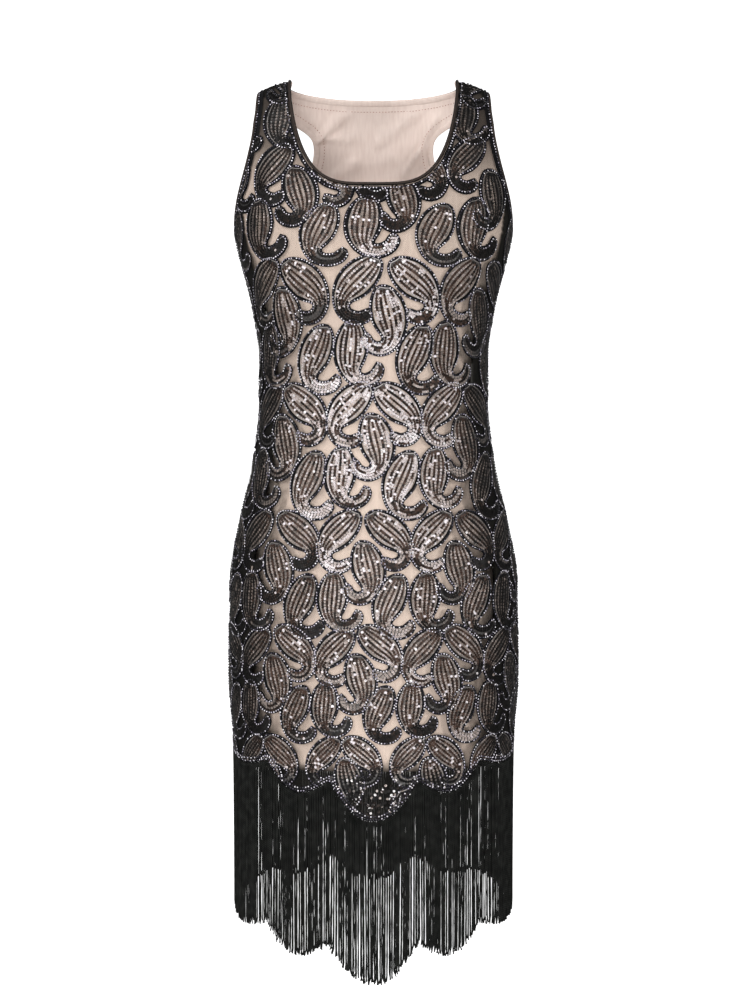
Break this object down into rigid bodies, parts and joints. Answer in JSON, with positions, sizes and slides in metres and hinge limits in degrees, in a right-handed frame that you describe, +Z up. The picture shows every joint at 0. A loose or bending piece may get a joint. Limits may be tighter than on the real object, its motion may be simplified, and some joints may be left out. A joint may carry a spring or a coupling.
{
  "type": "sequin fringe dress",
  "caption": "Sleeveless knee-length shift dress, filled out and hollow: beaded paisley net over a nude lining, scoop neck, racer back, scalloped hem and long fringe.",
  "frame": {"origin": "midway between the middles of the two shoulder seams, where the wearer's shoulders hold the dress up", "axes": "+Z up, from hem to neck; the front faces -Y; +X is the wearer's left"},
  "size_m": [0.322, 0.2452, 0.9877],
  "materials": {
    "beaded_net": "sheer black net with paisleys of seed beads and translucent smoke sequins",
    "nude_lining": "matt fine knit, pale nude",
    "binding": "narrow black bias strip with a row of seed beads",
    "fringe": "black rayon chainette with a soft sheen"
  },
  "bodies": {
    "root": {"shell_front": "beaded_net", "shell_back": "beaded_net", "lining_skirt_front": "nude_lining", "lining_bodice_front": "nude_lining", "lining_skirt_back": "nude_lining", "lining_bodice_back": "nude_lining", "neck_binding": "binding", "armhole_binding_left": "binding", "armhole_binding_right": "binding", "fringe_front": "fringe", "fringe_back": "fringe"}
  },
  "joints": []
}
